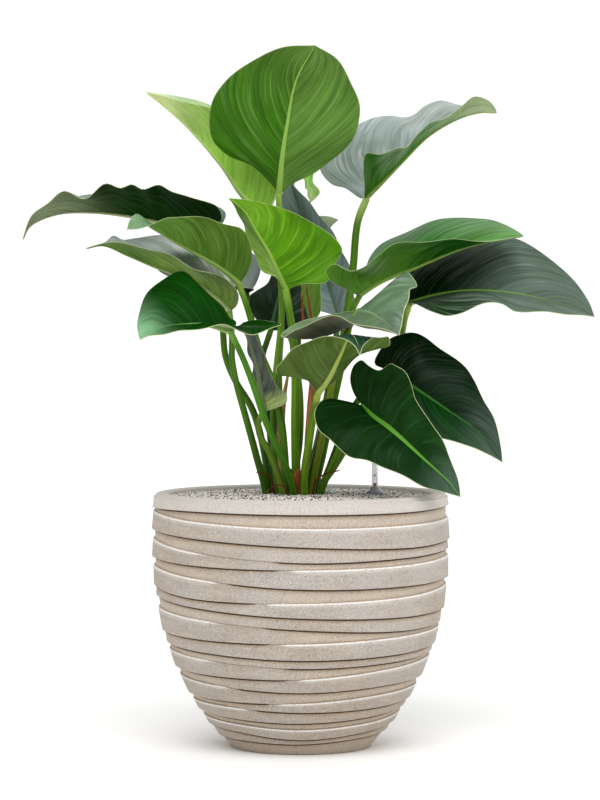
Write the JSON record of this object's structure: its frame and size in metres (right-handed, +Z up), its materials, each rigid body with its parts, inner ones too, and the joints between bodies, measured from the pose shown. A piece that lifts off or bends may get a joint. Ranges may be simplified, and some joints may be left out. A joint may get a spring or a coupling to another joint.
{
  "type": "potted philodendron",
  "caption": "Leafy aroid house plant with heart-shaped ribbed leaves on long stalks, standing in a banded round cast-stone pot with a gravel top and a water gauge.",
  "frame": {"origin": "centre of the pot's flat underside", "axes": "+Z up along the pot's axis, -Y towards the front of the plant, +X to its right"},
  "size_m": [0.8366, 0.4825, 1.0181],
  "materials": {
    "leaf_crown": "waxy leaf, satin to glossy, paler ribs and margin",
    "leaf_lime": "waxy leaf, satin to glossy, paler ribs and margin",
    "leaf_front": "waxy leaf, satin to glossy, paler ribs and margin",
    "leaf_plume": "waxy leaf, satin to glossy, paler ribs and margin",
    "leaf_sail": "waxy leaf, satin to glossy, paler ribs and margin",
    "leaf_lance": "waxy leaf, satin to glossy, paler ribs and margin",
    "leaf_broad": "waxy leaf, satin to glossy, paler ribs and margin",
    "leaf_silver": "waxy leaf, satin to glossy, paler ribs and margin",
    "leaf_wing": "waxy leaf, satin to glossy, paler ribs and margin",
    "leaf_paddle": "waxy leaf, satin to glossy, paler ribs and margin",
    "leaf_visor": "waxy leaf, satin to glossy, paler ribs and margin",
    "leaf_dusk": "waxy leaf, satin to glossy, paler ribs and margin",
    "leaf_spear": "waxy leaf, satin to glossy, paler ribs and margin",
    "leaf_shade": "waxy leaf, satin to glossy, paler ribs and margin",
    "leaf_bud": "waxy leaf, satin to glossy, paler ribs and margin",
    "leaf_distant": "waxy leaf, satin to glossy, paler ribs and margin",
    "leaf_night": "waxy leaf, satin to glossy, paler ribs and margin",
    "leaf_bib": "waxy leaf, satin to glossy, paler ribs and margin",
    "leaf_cloak": "waxy leaf, satin to glossy, paler ribs and margin",
    "leaf_apron": "waxy leaf, satin to glossy, paler ribs and margin",
    "leaf_strap": "waxy leaf, satin to glossy, paler ribs and margin",
    "stalk": "satin green stem with fine ridges",
    "sheath": "dry, papery",
    "root": "rough bark",
    "gauge_tube": "clear plastic tube",
    "gauge_float": "gloss",
    "gauge_foot": "smoky, half clear",
    "pot": "cast stone, fine pits, banded",
    "soil": "crumbly",
    "gravel": "mixed mineral grains"
  },
  "bodies": {
    "root": {"leaf_crown": "leaf_crown", "leaf_lime": "leaf_lime", "leaf_front": "leaf_front", "leaf_plume": "leaf_plume", "leaf_sail": "leaf_sail", "leaf_lance": "leaf_lance", "leaf_broad": "leaf_broad", "leaf_silver": "leaf_silver", "leaf_wing": "leaf_wing", "leaf_paddle": "leaf_paddle", "leaf_visor": "leaf_visor", "leaf_dusk": "leaf_dusk", "leaf_spear": "leaf_spear", "leaf_shade": "leaf_shade", "leaf_bud": "leaf_bud", "leaf_distant": "leaf_distant", "leaf_night": "leaf_night", "leaf_bib": "leaf_bib", "leaf_cloak": "leaf_cloak", "leaf_apron": "leaf_apron", "leaf_strap": "leaf_strap", "stalk_crown": "stalk", "stalk_lime": "stalk", "stalk_front": "stalk", "stalk_plume": "stalk", "stalk_sail": "stalk", "stalk_lance": "stalk", "stalk_broad": "stalk", "stalk_silver": "stalk", "stalk_wing": "stalk", "stalk_paddle": "stalk", "stalk_visor": "stalk", "stalk_dusk": "stalk", "stalk_spear": "stalk", "stalk_shade": "stalk", "stalk_bud": "stalk", "stalk_distant": "stalk", "stalk_night": "stalk", "stalk_bib": "stalk", "stalk_cloak": "stalk", "stalk_apron": "stalk", "stalk_strap": "stalk", "sheath_1": "sheath", "sheath_2": "sheath", "root_1": "root", "root_2": "root", "root_3": "root", "gauge_tube": "gauge_tube", "gauge_float": "gauge_float", "gauge_foot": "gauge_foot", "pot": "pot", "soil": "soil", "gravel": "gravel"}
  },
  "joints": []
}
